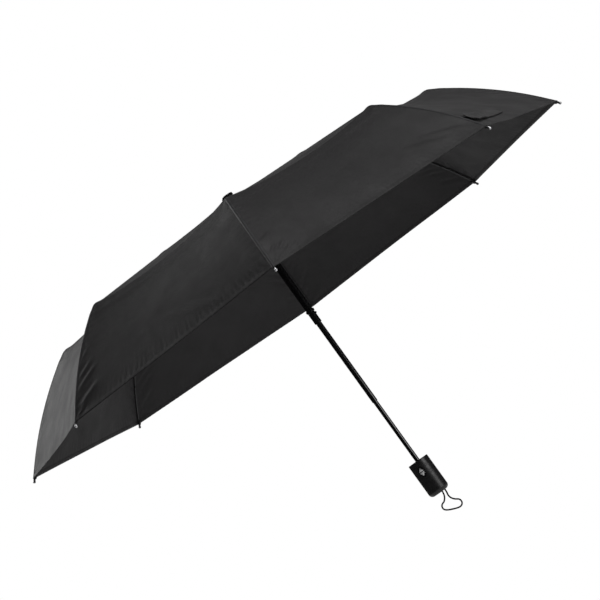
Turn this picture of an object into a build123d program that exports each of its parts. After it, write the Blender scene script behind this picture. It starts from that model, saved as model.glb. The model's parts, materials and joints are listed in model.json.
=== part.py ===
from build123d import *
import math
import os

# Folding umbrella, open. Three-section telescopic shaft, eight three-section ribs, automatic handle.
# Row frame: +Z runs up the shaft to the canopy; the origin is on the shaft axis, in the middle of the plain
# grip below the push button. All sizes are in millimetres. "Depth" is measured down from the apex.

# ---- driving dimensions -------------------------------------------------------------------------------
RIBS = 8
APEX = 519.5                      # height of the apex above the origin
RIB_AZIMUTH = [-90 - 45 * k for k in range(RIBS)]   # rib 1 at the front (-Y), numbered clockwise from above

# crown and top cap
CAP_R, CAP_H, CAP_NECK, CAP_RISE = 9.0, 4.4, 7.2, 4.2   # the disc stands CAP_RISE above the apex plane
CROWN_R, CROWN_TOP, CROWN_BOTTOM = 12.4, 6.4, 13.5
RIB_PIVOT_R, RIB_PIVOT_DEPTH = 9.0, 8.2             # inner rib hinge
CROWN_SLOT, CROWN_PIN_R = 2.6, 0.6

# telescopic shaft: outer radius, wall, depth of the two ends
TOP_R, TOP_WALL, TOP_END = 5.65, 0.5, 232.0
MID_R, MID_WALL, MID_START, MID_END = 4.35, 0.45, 212.0, 376.0
LOW_R, LOW_WALL, LOW_START = 3.55, 0.45, 356.0
STOP_DEPTH = 209.0

# handle
HANDLE_R, HANDLE_TOP, HANDLE_BOTTOM, CAP_SEAM = 16.6, 36.0, -21.5, -10.5
HANDLE_EDGE = 6.5
BUTTON_Z, BUTTON_W, BUTTON_H, BUTTON_AZIMUTH = 19.0, 10.0, 17.0, -106.0
CORD_R = 1.2

# rib linkage, in the plane of a rib
OPEN_DROP = 6.8                   # inner and middle rib, degrees below horizontal when open
CLOSED_FROM_SHAFT = 3.0           # inner rib, degrees off the shaft when closed
INNER_L, MIDDLE_L = 165.0, 160.0
STRUT_AT, STRUT_UNDER, STRUT_L = 80.0, 1.3, 105.0
RUNNER_PIVOT_R = 9.5
MIDDLE_TURN = 174.0               # middle rib against the inner rib, open to closed
OUTER_OPEN, OUTER_CLOSED = -34.0, -177.0            # outer rib's chord against the middle rib
TIP_R, TIP_DEPTH = 485.0, 179.0
CRANK_INNER, CRANK_OUTER = 11.0, 10.0               # lever arms of the two fold links
SAG = 10.0                        # bow of the outer rib above its chord
RUNNER_TOP, RUNNER_BOTTOM, RUNNER_R = 20.0, 13.0, 7.4

# canopy skin
SKIN = 0.8


def z_of(depth):
    return APEX - depth


def turn(deg):
    return math.cos(math.radians(deg)), math.sin(math.radians(deg))


# ---- small shape helpers; a rib-plane piece is drawn as x along it, y to the canopy side, z sideways ---
def bar(x0, x1, y0, y1, w0, w1):
    return Pos((x0 + x1) / 2, (y0 + y1) / 2, (w0 + w1) / 2) * Box(x1 - x0, y1 - y0, w1 - w0)


def disc(x, y, r, w0, w1):
    return Pos(x, y, (w0 + w1) / 2) * Cylinder(r, w1 - w0)


def cheeks(make, w0, w1):
    return make(w0, w1) + make(-w1, -w0)


def ring(r_out, r_in, z0, z1):
    return Pos(0, 0, (z0 + z1) / 2) * (Cylinder(r_out, abs(z1 - z0)) - Cylinder(r_in, abs(z1 - z0) + 1))


def rod(r, z0, z1):
    return Pos(0, 0, (z0 + z1) / 2) * Cylinder(r, abs(z1 - z0))


def rib_plane(x, z, deg):
    c, s = turn(deg)
    return Plane(origin=(x, 0, z), x_dir=(c, 0, s), z_dir=(0, -1, 0))


def solids(*shapes):
    found = [s for shape in shapes for s in shape.solids()]
    return found[0] if len(found) == 1 else Compound(children=found)


# ---- linkage geometry at rest --------------------------------------------------------------------------
A = (RIB_PIVOT_R, z_of(RIB_PIVOT_DEPTH))


def along(point, length, deg, up=0.0):
    c, s = turn(deg)
    return point[0] + length * c - up * s, point[1] + length * s + up * c


def runner_drop(rib_deg):
    """Height of the runner pivot, and the strut's direction, for an inner rib at rib_deg."""
    d = along(A, STRUT_AT, rib_deg, -STRUT_UNDER)
    z = d[1] - math.sqrt(STRUT_L ** 2 - (d[0] - RUNNER_PIVOT_R) ** 2)
    return z, math.degrees(math.atan2(z - d[1], RUNNER_PIVOT_R - d[0]))


RIB_OPEN, RIB_CLOSED = -OPEN_DROP, -(90 - CLOSED_FROM_SHAFT)
B = along(A, INNER_L, RIB_OPEN)
E = along(A, INNER_L + MIDDLE_L, RIB_OPEN)
D = along(A, STRUT_AT, RIB_OPEN, -STRUT_UNDER)
C_Z, STRUT_OPEN = runner_drop(RIB_OPEN)
C_Z_CLOSED, STRUT_CLOSED = runner_drop(RIB_CLOSED)
STRUT_REL_OPEN = STRUT_OPEN - RIB_OPEN
STRUT_REL_CLOSED = STRUT_CLOSED - RIB_CLOSED
TIP = (TIP_R, z_of(TIP_DEPTH))
OUTER_DEG = math.degrees(math.atan2(TIP[1] - E[1], TIP[0] - E[0]))
OUTER_L = math.hypot(TIP[0] - E[0], TIP[1] - E[1])

# inner link: from a lug on the strut to the middle rib's tail, level at both ends of the fold
LUG_OFF = (-180 - STRUT_REL_OPEN - STRUT_REL_CLOSED) / 2
LUG_HALF = (STRUT_REL_CLOSED - STRUT_REL_OPEN) / 2
LUG = along(D, CRANK_INNER, STRUT_OPEN + LUG_OFF)
TAIL_HALF = (180 - MIDDLE_TURN) / 2
TAIL_L = CRANK_INNER * math.sin(math.radians(LUG_HALF)) / math.cos(math.radians(TAIL_HALF))
TAIL = along(B, TAIL_L, RIB_OPEN + 180 + TAIL_HALF)
# outer link: from the inner rib's nose to the outer rib's fitting
NOSE = along(B, CRANK_OUTER, RIB_OPEN - TAIL_HALF)
FIT_OFF = -(180 - (OUTER_OPEN - OUTER_CLOSED)) / 2
FIT_L = CRANK_OUTER * math.cos(math.radians(TAIL_HALF)) / math.cos(math.radians(FIT_OFF))
FIT = along(E, FIT_L, RIB_OPEN + FIT_OFF)


def direction(p, q):
    return math.degrees(math.atan2(q[1] - p[1], q[0] - p[0])), math.hypot(q[0] - p[0], q[1] - p[1])


# ---- one rib, drawn in the X-Z plane ------------------------------------------------------------------
def inner_rib():
    nose_x, nose_y = CRANK_OUTER * turn(-TAIL_HALF)[0], CRANK_OUTER * turn(-TAIL_HALF)[1]
    end = INNER_L - 5
    body = bar(0, 12, -1.2, 0.6, -1.0, 1.0) + disc(0, 0, 1.6, -1.0, 1.0)
    body += bar(7.5, end, 0.1, 0.6, -1.5, 1.5)
    body += cheeks(lambda a, b: bar(7.5, end + 1, -2.2, 0.6, a, b), 1.0, 1.5)
    body += cheeks(lambda a, b: disc(STRUT_AT, -STRUT_UNDER, 1.7, a, b), 1.0, 1.5)
    body += cheeks(lambda a, b: bar(end, INNER_L + nose_x, -1.7, 0.6, a, b), 1.0, 1.5)
    body += cheeks(lambda a, b: disc(INNER_L, 0, 1.9, a, b), 1.0, 1.5)
    body += cheeks(lambda a, b: disc(INNER_L + nose_x, nose_y, 1.5, a, b), 1.0, 1.5)
    body -= disc(0, 0, CROWN_PIN_R + 0.05, -3, 3)
    body -= disc(STRUT_AT, -STRUT_UNDER, 0.75, -3, 3)
    body -= disc(INNER_L, 0, 0.75, -3, 3)
    body -= disc(INNER_L + nose_x, nose_y, 0.55, -3, 3)
    return rib_plane(*A, RIB_OPEN) * body


def strut():
    lug_x, lug_y = CRANK_INNER * turn(LUG_OFF)[0], CRANK_INNER * turn(LUG_OFF)[1]
    body = cheeks(lambda a, b: bar(0, STRUT_L, -1.6, 1.2, a, b), 1.6, 2.1)
    body += cheeks(lambda a, b: disc(0, 0, 1.7, a, b), 1.6, 2.1)
    body += bar(12, STRUT_L - 4, -1.6, -1.1, -2.1, 2.1)
    body += bar(STRUT_L - 7, STRUT_L, -1.6, 1.2, -2.1, 2.1) + disc(STRUT_L, 0, 1.6, -2.1, 2.1)
    body += bar(lug_x - 1.7, lug_x + 1.7, lug_y, -1.2, 1.6, 2.1) + disc(lug_x, lug_y, 1.7, 1.6, 2.1)
    body -= disc(STRUT_L, 0, 0.8, -3, 3)
    body += disc(0, 0, 0.7, -2.2, 2.2)
    body += cheeks(lambda a, b: disc(0, 0, 1.2, a, b), 2.1, 2.45)
    body += disc(lug_x, lug_y, 0.7, 2.0, 2.85) + disc(lug_x, lug_y, 1.3, 2.8, 3.1)
    return rib_plane(*D, STRUT_OPEN) * body


def inner_link():
    deg, length = direction(LUG, TAIL)
    body = bar(0, length, -1.0, 1.0, 2.2, 2.7) + disc(0, 0, 1.6, 2.2, 2.7) + disc(length, 0, 1.5, 2.2, 2.7)
    body -= disc(0, 0, 0.75, 2, 3)
    body += disc(length, 0, 1.1, 2.7, 3.0)
    return rib_plane(*LUG, deg) * body


def middle_rib():
    tail_x, tail_y = -TAIL_L * turn(TAIL_HALF)[0], -TAIL_L * turn(TAIL_HALF)[1]
    body = cheeks(lambda a, b: bar(-1, MIDDLE_L, -2.0, 0.6, a, b), 1.6, 2.1)
    body += cheeks(lambda a, b: disc(0, 0, 1.9, a, b), 1.6, 2.1)
    body += cheeks(lambda a, b: disc(MIDDLE_L, 0, 1.9, a, b), 1.6, 2.1)
    body += cheeks(lambda a, b: bar(tail_x, 0, -1.6, 0.6, a, b), 1.6, 2.1)
    body += cheeks(lambda a, b: disc(tail_x, tail_y, 1.4, a, b), 1.6, 2.1)
    body += bar(14, MIDDLE_L - 14, 0.1, 0.6, -2.1, 2.1)
    body += cheeks(lambda a, b: disc(0, 0, 0.7, a, b), 0.95, 2.1)
    body += cheeks(lambda a, b: disc(MIDDLE_L, 0, 0.7, a, b), 0.95, 2.1)
    body += disc(0, 0, 1.2, -2.4, -2.1)
    body += cheeks(lambda a, b: disc(MIDDLE_L, 0, 1.2, a, b), 2.1, 2.4)
    return rib_plane(*B, RIB_OPEN) * body


def outer_link():
    deg, length = direction(NOSE, FIT)
    body = Pos(length / 2, 0, 0) * Rot(0, 90, 0) * Cylinder(0.5, length - 1.2)
    body += disc(0, 0, 1.1, -0.6, 0.6) + disc(length, 0, 1.1, -0.6, 0.6)
    body += disc(0, 0, 0.5, -1.5, 1.5)
    return rib_plane(*NOSE, deg) * body


def outer_rib():
    lift = OUTER_DEG - (RIB_OPEN + FIT_OFF)           # the fitting sits flatter than the rib's chord
    c, s = turn(-lift)
    fit = cheeks(lambda a, b: bar(0, 18, -1.2, 0.8, a, b), 1.0, 1.5)
    fit += cheeks(lambda a, b: disc(0, 0, 1.9, a, b), 1.0, 1.5)
    fit += cheeks(lambda a, b: disc(FIT_L, 0, 1.5, a, b), 1.0, 1.5)
    fit += bar(17, 22, -0.7, 0.8, -1.5, 1.5)
    fit -= disc(0, 0, 0.75, -3, 3)
    fit -= disc(FIT_L, 0, 0.5, -3, 3)
    fit = Rot(0, 0, -lift) * fit
    start = (19 * c, 19 * s)
    path = ThreePointArc((*start, 0), (OUTER_L / 2 + 4, SAG, 0), (OUTER_L - 6, 0.55, 0))
    wire = sweep(Plane(origin=path @ 0, z_dir=path % 0) * Circle(1.1), path)
    end = path @ 1
    t = path % 1
    end_plane = Plane(origin=end, z_dir=t)
    ferrule = end_plane * (Pos(0, 0, -1) * Cylinder(1.7, 6)) + end_plane * (Pos(0, 0, 3.0) * Sphere(2.1))
    return rib_plane(*E, OUTER_DEG) * (fit + wire + ferrule)


# ---- canopy: planar gore panels over each rib section --------------------------------------------------
def canopy_lines():
    """Lower and upper ridge points (radius, height) from the crown to the hem."""
    mid = along(E, OUTER_L / 2 + 4, OUTER_DEG, SAG)
    last = along(E, OUTER_L - 11, OUTER_DEG, 0.9)
    low = [
        along((RIB_PIVOT_R, A[1]), -2.2, RIB_OPEN, 2.4),
        along(B, 0, RIB_OPEN, 2.4),
        along(E, 0, (RIB_OPEN + OUTER_DEG) / 2, 4.9),
        along(mid, 0, OUTER_DEG, 6.3),
        along(last, 0, OUTER_DEG - 8, 3.2),
    ]
    degs = [direction(low[k], low[k + 1])[0] for k in range(len(low) - 1)]
    normals = [degs[0]] + [(degs[k] + degs[k + 1]) / 2 for k in range(len(degs) - 1)] + [degs[-1]]
    return low, [along(p, 0, n, SKIN) for p, n in zip(low, normals)]


def panel(corners_low, corners_high):
    """A solid with six planar faces from four lower and four upper corners, in order."""
    a, b = corners_low, corners_high
    rings = [a, b] + [[a[k], a[(k + 1) % 4], b[(k + 1) % 4], b[k]] for k in range(4)]
    return Solid(Shell([Face(Wire.make_polygon(r, close=True)) for r in rings]))


def canopy():
    low, high = canopy_lines()
    panels = []
    for k in range(RIBS):
        here, there = turn(RIB_AZIMUTH[k]), turn(RIB_AZIMUTH[(k + 1) % RIBS])
        for n in range(len(low) - 1):
            sides = []
            for line in (low, high):
                (r0, z0), (r1, z1) = line[n], line[n + 1]
                sides.append([
                    (r0 * here[0], r0 * here[1], z0), (r1 * here[0], r1 * here[1], z1),
                    (r1 * there[0], r1 * there[1], z1), (r0 * there[0], r0 * there[1], z0),
                ])
            panels.append(panel(*sides))
    return Compound(children=panels)


def tie_strap():
    """Tab with a round fastener, lying on the panel between ribs 8 and 7 near the hem."""
    low, high = canopy_lines()
    first, second = turn(RIB_AZIMUTH[7]), turn(RIB_AZIMUTH[6])
    hem8 = Vector(high[-1][0] * first[0], high[-1][0] * first[1], high[-1][1])
    hem7 = Vector(high[-1][0] * second[0], high[-1][0] * second[1], high[-1][1])
    up8 = Vector(high[-2][0] * first[0], high[-2][0] * first[1], high[-2][1])
    across = (hem7 - hem8).normalized()
    normal = across.cross(up8 - hem8).normalized()
    if normal.Z < 0:
        normal = normal * -1
    place = Plane(origin=hem8, x_dir=across, z_dir=normal)
    upward = 1 if place.to_local_coords(up8).Y > 0 else -1
    tab = Pos(110, upward * 36, 0.65) * extrude(RectangleRounded(144, 24, 11.4), amount=1.1)
    snap = Pos(118, upward * 36, 1.7) * extrude(Circle(8.8), amount=0.5)
    return place * (tab + snap)


# ---- crown, cap, tubes, runner -------------------------------------------------------------------------
def top_cap():
    foot = z_of(CAP_H) + CAP_RISE
    cap = fillet(rod(CAP_R, z_of(0.5) + CAP_RISE, foot).edges().group_by(Axis.Z)[-1], 1.4)
    cap += fillet(rod(4.2, z_of(0) + CAP_RISE, foot + 2).edges().group_by(Axis.Z)[-1], 0.45)
    cap += Pos(-CAP_R - 0.2, 0, foot + 0.9) * Box(2.4, 3.2, 1.8)
    cap += rod(CAP_NECK, foot + 1, z_of(CAP_H))
    return solids(cap + rod(3.4, z_of(CAP_H - 1), z_of(20)))


def crown():
    body = chamfer(ring(CROWN_R, 3.45, z_of(CROWN_TOP), z_of(CROWN_BOTTOM)).edges().group_by(Axis.Z)[-1], 0.4)
    body += ring(5.1, 3.45, z_of(CROWN_BOTTOM - 1), z_of(24))
    for deg in RIB_AZIMUTH:
        body -= Rot(0, 0, deg) * Pos(6.4 + 5, 0, z_of(10)) * Box(10, CROWN_SLOT, 12)
    for deg in RIB_AZIMUTH:
        pin = Pos(RIB_PIVOT_R, 0, z_of(RIB_PIVOT_DEPTH)) * Rot(90, 0, 0) * Cylinder(CROWN_PIN_R, CROWN_SLOT + 1.6)
        body += Rot(0, 0, deg) * pin
    return solids(body)


def top_tube():
    body = ring(TOP_R, TOP_R - TOP_WALL, z_of(CROWN_BOTTOM + 0.1), z_of(TOP_END))
    body += ring(TOP_R - 0.1, MID_R + 0.1, z_of(TOP_END - 6), z_of(TOP_END))
    body += ring(7.0, TOP_R - 0.1, z_of(STOP_DEPTH), z_of(STOP_DEPTH + 3.5))
    stud = Rot(0, 0, -40) * Pos(6.9, 0, z_of(STOP_DEPTH + 8)) * Rot(0, 90, 0) * Cylinder(1.5, 3.0)
    return solids(body + stud)


def middle_tube():
    body = ring(MID_R, MID_R - MID_WALL, z_of(MID_START), z_of(MID_END))
    body += ring(5.05, MID_R - 0.1, z_of(MID_START), z_of(MID_START + 8))
    return solids(body + ring(MID_R - 0.1, LOW_R + 0.08, z_of(MID_END - 6), z_of(MID_END)))


def lower_tube():
    body = ring(LOW_R, LOW_R - LOW_WALL, z_of(LOW_START), -2.0)
    return solids(body + ring(3.82, LOW_R - 0.1, z_of(LOW_START), z_of(LOW_START + 7)))


def runner():
    body = ring(RUNNER_R, TOP_R + 0.1, C_Z + RUNNER_TOP, C_Z - RUNNER_BOTTOM)
    body += ring(11.6, RUNNER_R - 0.2, C_Z + 3, C_Z - 3)
    body += ring(8.8, RUNNER_R - 0.2, C_Z - RUNNER_BOTTOM + 2.2, C_Z - RUNNER_BOTTOM)
    body += ring(8.0, RUNNER_R - 0.2, C_Z + RUNNER_TOP, C_Z + RUNNER_TOP - 2)
    for deg in RIB_AZIMUTH:
        body -= Rot(0, 0, deg) * Pos(RUNNER_R + 5.05, 0, C_Z) * Box(10, 4.5, 7)
    return solids(body)


# ---- handle --------------------------------------------------------------------------------------------
def button_prism(grow, r0, r1):
    """Rounded oval prism on the button's axis, from radius r0 to r1."""
    face = Plane(origin=(r0, 0, BUTTON_Z), x_dir=(0, 1, 0), z_dir=(1, 0, 0))
    w = BUTTON_W / 2 + grow
    return extrude(face * Ellipse(w, BUTTON_H / 2 + grow), amount=r1 - r0)


def handle_shell():
    outer = rod(HANDLE_R, HANDLE_TOP, CAP_SEAM)
    body = chamfer(outer.edges().group_by(Axis.Z)[-1], 0.6)
    body -= rod(HANDLE_R - 2.4, HANDLE_TOP - 3, CAP_SEAM - 1)
    body += rod(6.0, HANDLE_TOP - 2, -4.0)
    body += button_prism(1.4, 5.0, HANDLE_R - 1.5)
    body -= button_prism(0.15, 9.0, HANDLE_R + 2)
    body -= rod(LOW_R + 0.02, HANDLE_TOP + 1, -6.0)
    return solids(Rot(0, 0, BUTTON_AZIMUTH) * body)


def push_button():
    body = button_prism(0, 12.2, HANDLE_R + 3) & rod(HANDLE_R + 0.7, BUTTON_Z - 12, BUTTON_Z + 12)
    plane = Plane(origin=(HANDLE_R - 1, 0, BUTTON_Z), x_dir=(0, 1, 0), z_dir=(1, 0, 0))
    for side in (1, -1):
        arrow = Polygon((-3.5, side * 0.8), (3.5, side * 0.8), (0, side * 6.4), align=None)
        body += extrude(plane * arrow, amount=3) & rod(HANDLE_R + 0.95, BUTTON_Z - 12, BUTTON_Z + 12)
    return solids(Rot(0, 0, BUTTON_AZIMUTH) * body)


CORD = [(x, -3.0, z) for x, z in [
    (3.2, -18.5), (3.2, -27.0), (-2.7, -35.7), (-8.9, -37.0), (-11.5, -41.8), (-9.6, -47.1), (0.9, -52.3),
    (12.0, -56.2), (17.6, -52.6), (17.7, -45.9), (11.4, -41.8), (7.6, -36.7), (6.5, -30.9),
    (8.0, -26.4), (8.0, -18.6),
]]


def handle_end_cap():
    body = fillet(rod(HANDLE_R, CAP_SEAM - 0.05, HANDLE_BOTTOM).edges().group_by(Axis.Z)[0], HANDLE_EDGE)
    body += ring(HANDLE_R - 2.5, HANDLE_R - 4.5, CAP_SEAM + 4, CAP_SEAM - 1)
    for x, y, z in (CORD[0], CORD[-1]):
        body -= Pos(x, y, HANDLE_BOTTOM) * Cylinder(CORD_R + 0.1, 8)
    return solids(body)


def wrist_cord():
    """Runs joined by arcs that touch them 45 % along the shorter run of each corner."""
    points = [Vector(*p) for p in CORD]
    edges, last = [], points[0]
    for k in range(1, len(points) - 1):
        p, q, r = points[k - 1:k + 2]
        reach = 0.45 * min((q - p).length, (r - q).length)
        into, out = q + (p - q).normalized() * reach, q + (r - q).normalized() * reach
        half = (p - q).get_angle((r - q)) / 2
        radius = reach * math.tan(math.radians(half))
        print(f"cord corner {k}: turn {180 - 2 * half:.0f} degrees, radius {radius:.1f} mm")
        centre = q + ((p - q).normalized() + (r - q).normalized()).normalized() * (
            reach / math.cos(math.radians(half)))
        middle = centre + (q - centre).normalized() * radius
        edges += [Line(last, into), ThreePointArc(into, middle, out)]
        last = out
    edges.append(Line(last, points[-1]))
    path = Wire([e for edge in edges for e in edge.edges()])
    print(f"cord length {path.length:.1f} mm, tube volume should be {math.pi * CORD_R ** 2 * path.length:.0f} mm3")
    return sweep(Plane(origin=path @ 0, z_dir=path % 0) * Circle(CORD_R), path)


# ---- write one file per node ---------------------------------------------------------------------------
NODES = {
    "top_cap": top_cap(), "crown": crown(), "top_tube": top_tube(), "middle_tube": middle_tube(),
    "lower_tube": lower_tube(), "runner": runner(), "handle_shell": handle_shell(),
    "handle_end_cap": handle_end_cap(), "push_button": push_button(), "wrist_cord": wrist_cord(),
    "canopy": canopy(), "tie_strap": tie_strap(),
}
RIB_PIECES = {
    "inner_rib": inner_rib(), "strut": strut(), "inner_link": inner_link(),
    "middle_rib": middle_rib(), "outer_link": outer_link(), "outer_rib": outer_rib(),
}
for name, shape in RIB_PIECES.items():
    for k, deg in enumerate(RIB_AZIMUTH):
        NODES[f"{name}_{k + 1}"] = Rot(0, 0, deg) * solids(shape)

os.makedirs("parts", exist_ok=True)
for name, shape in NODES.items():
    export_step(shape, f"parts/{name}.step")
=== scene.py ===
import json
import math
from collections import namedtuple

import bmesh
import bpy
import numpy as np
from mathutils import Matrix, Vector


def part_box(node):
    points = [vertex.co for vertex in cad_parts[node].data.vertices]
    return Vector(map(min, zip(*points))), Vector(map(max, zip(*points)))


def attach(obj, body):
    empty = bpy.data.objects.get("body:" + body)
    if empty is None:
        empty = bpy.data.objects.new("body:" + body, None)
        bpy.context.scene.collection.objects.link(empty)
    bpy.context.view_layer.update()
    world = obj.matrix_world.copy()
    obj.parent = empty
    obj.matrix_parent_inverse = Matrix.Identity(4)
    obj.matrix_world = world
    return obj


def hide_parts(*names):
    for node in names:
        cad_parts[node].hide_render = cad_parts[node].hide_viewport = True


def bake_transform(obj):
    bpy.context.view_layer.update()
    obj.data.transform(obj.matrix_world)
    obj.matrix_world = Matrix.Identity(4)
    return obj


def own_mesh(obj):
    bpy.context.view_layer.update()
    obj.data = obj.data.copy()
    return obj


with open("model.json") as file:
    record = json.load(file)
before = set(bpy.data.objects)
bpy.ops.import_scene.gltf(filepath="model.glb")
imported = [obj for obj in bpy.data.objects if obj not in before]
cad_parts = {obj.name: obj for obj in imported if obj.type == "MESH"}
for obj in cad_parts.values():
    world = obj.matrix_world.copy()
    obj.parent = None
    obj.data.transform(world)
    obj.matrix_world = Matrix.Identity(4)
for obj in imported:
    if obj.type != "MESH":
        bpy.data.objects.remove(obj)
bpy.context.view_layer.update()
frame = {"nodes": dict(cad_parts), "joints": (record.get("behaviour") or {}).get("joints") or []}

MM = 0.001
RIBS = range(1, 9)
HINGES = {j["name"]: j["pos_m"] for j in frame["joints"] if j["name"].endswith("_hinge")}


def azimuth(k):
    """Direction of rib k, in radians; rib 1 points to -Y and the numbers run clockwise from above."""
    return math.radians(-90 - 45 * ((k - 1) % 8))


# ---- materials -----------------------------------------------------------------------------------------
def material(name, base, rough, metal=0.0, spec=0.5, sheen=0.0, sheen_rough=0.4, coat=0.0, coat_rough=0.1):
    """A new material with one value on each of its shader's sockets."""
    m = bpy.data.materials.new(name)
    m.use_nodes = True
    b = m.node_tree.nodes["Principled BSDF"]
    b.inputs["Base Color"].default_value = (*base, 1)
    b.inputs["Roughness"].default_value = rough
    b.inputs["Metallic"].default_value = metal
    b.inputs["Specular IOR Level"].default_value = spec
    b.inputs["Sheen Weight"].default_value = sheen
    b.inputs["Sheen Roughness"].default_value = sheen_rough
    b.inputs["Coat Weight"].default_value = coat
    b.inputs["Coat Roughness"].default_value = coat_rough
    return m


class Nodes:
    """Short names for building a node tree."""

    def __init__(self, m):
        self.tree = m.node_tree
        self.bsdf = self.tree.nodes["Principled BSDF"]

    def new(self, kind, **values):
        n = self.tree.nodes.new(kind)
        for key, value in values.items():
            if key in n.bl_rna.properties:
                setattr(n, key, value)
            else:
                n.inputs[key.replace("_", " ")].default_value = value
        return n

    def link(self, a, b):
        self.tree.links.new(a, b)

    def feed(self, output, socket):
        """Join an output to one of the shader's own sockets."""
        self.link(output, self.bsdf.inputs[socket])

    def noise(self, where, scale, detail=3.0, rough=0.55):
        n = self.new("ShaderNodeTexNoise", Scale=scale, Detail=detail, Roughness=rough)
        self.link(where, n.inputs["Vector"])
        return n.outputs["Fac"]

    def ramp(self, fac, stops):
        n = self.new("ShaderNodeValToRGB")
        e = n.color_ramp.elements
        while len(e) < len(stops):
            e.new(0.5)
        for item, (at, colour) in zip(e, stops):
            item.position, item.color = at, (*colour, 1)
        self.link(fac, n.inputs["Fac"])
        return n.outputs["Color"]

    def range(self, fac, a, b, low, high):
        n = self.new("ShaderNodeMapRange")
        for key, value in (("From Min", a), ("From Max", b), ("To Min", low), ("To Max", high)):
            n.inputs[key].default_value = value
        self.link(fac, n.inputs["Value"])
        return n.outputs["Result"]

    def uneven(self, where, scale, detail, low, high):
        """A value that wanders between low and high over the surface."""
        return self.range(self.noise(where, scale, detail), 0.3, 0.7, low, high)

    def math(self, op, a, b=None):
        n = self.new("ShaderNodeMath", operation=op)
        for i, x in enumerate((a, b)):
            if x is not None:
                self.link(x, n.inputs[i])
        return n.outputs[0]

    def bump(self, height, strength, distance, normal=None):
        n = self.new("ShaderNodeBump", Strength=strength, Distance=distance)
        self.link(height, n.inputs["Height"])
        if normal is not None:
            self.link(normal, n.inputs["Normal"])
        return n.outputs["Normal"]

    def uv(self):
        n = self.new("ShaderNodeUVMap")
        n.uv_map = "cloth"
        return n.outputs["UV"]

    def place(self):
        return self.new("ShaderNodeTexCoord").outputs["Object"]

    def axis(self, vector, which):
        n = self.new("ShaderNodeSeparateXYZ")
        self.link(vector, n.inputs[0])
        return n.outputs[which]

    def wave(self, where, scale, direction):
        n = self.new("ShaderNodeTexWave", Scale=scale, Distortion=0.6)
        n.bands_direction = direction
        n.inputs["Detail Scale"].default_value = 2.0
        self.link(where, n.inputs["Vector"])
        return n.outputs["Fac"]


THREAD_SCALE = 700.0              # the wave texture's scale for threads 0.45 mm apart


def cloth_material(name, dark, light, rough, sheen):
    """Close black weave: crossed threads, uneven dye, a soft shine that varies."""
    m = material(name, dark, rough, spec=0.26, sheen=sheen, sheen_rough=0.35)
    n = Nodes(m)
    uv = n.uv()
    dye = n.noise(n.place(), 9.0, 5.0, 0.6)
    n.feed(n.ramp(dye, [(0.3, dark), (0.75, light)]), "Base Color")
    n.feed(n.uneven(n.place(), 26.0, 4.0, rough - 0.06, rough + 0.07), "Roughness")
    threads = n.math("MAXIMUM", n.wave(uv, THREAD_SCALE, "X"), n.wave(uv, THREAD_SCALE, "Y"))
    weave = n.bump(threads, 0.22, 0.00025)
    creases = n.noise(n.place(), 60.0, 4.0, 0.6)
    n.feed(n.bump(creases, 0.16, 0.0016, weave), "Normal")
    return m


CLOTH = cloth_material("pongee_black", (0.0090, 0.0082, 0.0088), (0.0142, 0.0130, 0.0139), 0.52, 0.06)
SEAM = cloth_material("seam_tape_black", (0.014, 0.0137, 0.015), (0.022, 0.0215, 0.0235), 0.48, 0.10)
HEM = cloth_material("hem_black", (0.0078, 0.0071, 0.0076), (0.0123, 0.0113, 0.0120), 0.52, 0.06)
TAPE = cloth_material("fastener_tape_black", (0.006, 0.006, 0.0064), (0.010, 0.010, 0.0105), 0.75, 0.15)
STRAP = cloth_material("strap_black", (0.0125, 0.0116, 0.0123), (0.0195, 0.0181, 0.0190), 0.46, 0.08)


def moulded(name, base, rough, grain, strength, spec=0.5, coat=0.0):
    """Moulded plastic or rubber: an uneven tone and shine over a fine grain."""
    m = material(name, base, rough, spec=spec, coat=coat)
    n = Nodes(m)
    place = n.place()
    lighter = tuple(c * 1.5 + 0.004 for c in base)
    n.feed(n.ramp(n.noise(place, 45.0, 3.0), [(0.35, base), (0.8, lighter)]), "Base Color")
    n.feed(n.uneven(place, 160.0, 4.0, rough - 0.05, rough + 0.08), "Roughness")
    n.feed(n.bump(n.noise(place, grain, 2.0), strength, 0.0002), "Normal")
    return m


GRIP = moulded("grip_soft_black", (0.0060, 0.0056, 0.0062), 0.36, 2600.0, 0.03)
PLASTIC = moulded("plastic_black", (0.010, 0.010, 0.010), 0.48, 1800.0, 0.2)
GLOSS = moulded("plastic_gloss_black", (0.006, 0.006, 0.0062), 0.16, 500.0, 0.05, coat=0.4)
CORD = moulded("cord_black", (0.005, 0.005, 0.005), 0.70, 1500.0, 0.5, spec=0.2)


def metal_paint(name, base, rough, stretch, spec, coat):
    """Paint over drawn metal: faint draw marks in the shine and an uneven tone."""
    m = material(name, base, rough, spec=spec, coat=coat, coat_rough=0.12)
    n = Nodes(m)
    scale = n.new("ShaderNodeVectorMath", operation="MULTIPLY")
    scale.inputs[1].default_value = stretch
    n.link(n.place(), scale.inputs[0])
    n.feed(n.uneven(scale.outputs[0], 1.0, 3.0, rough - 0.02, rough + 0.03), "Roughness")
    lighter = tuple(c * 1.6 + 0.003 for c in base)
    n.feed(n.ramp(n.noise(n.place(), 30.0, 3.0), [(0.3, base), (0.8, lighter)]), "Base Color")
    return m


TUBE = metal_paint("tube_black_gloss", (0.0022, 0.0022, 0.0024), 0.13, (120, 120, 8), spec=0.5, coat=0.0)
RIB = metal_paint("rib_black_satin", (0.012, 0.012, 0.013), 0.36, (300, 300, 300), spec=0.6, coat=0.2)


def bright_metal(name, base, rough, metal):
    """Bare metal or a metallic print, with a fine uneven grain."""
    m = material(name, base, rough, metal=metal)
    n = Nodes(m)
    n.feed(n.uneven(n.place(), 900.0, 3.0, rough - 0.06, rough + 0.1), "Roughness")
    n.feed(n.bump(n.noise(n.place(), 1400.0, 2.0), 0.08, 0.0001), "Normal")
    return m


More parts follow.
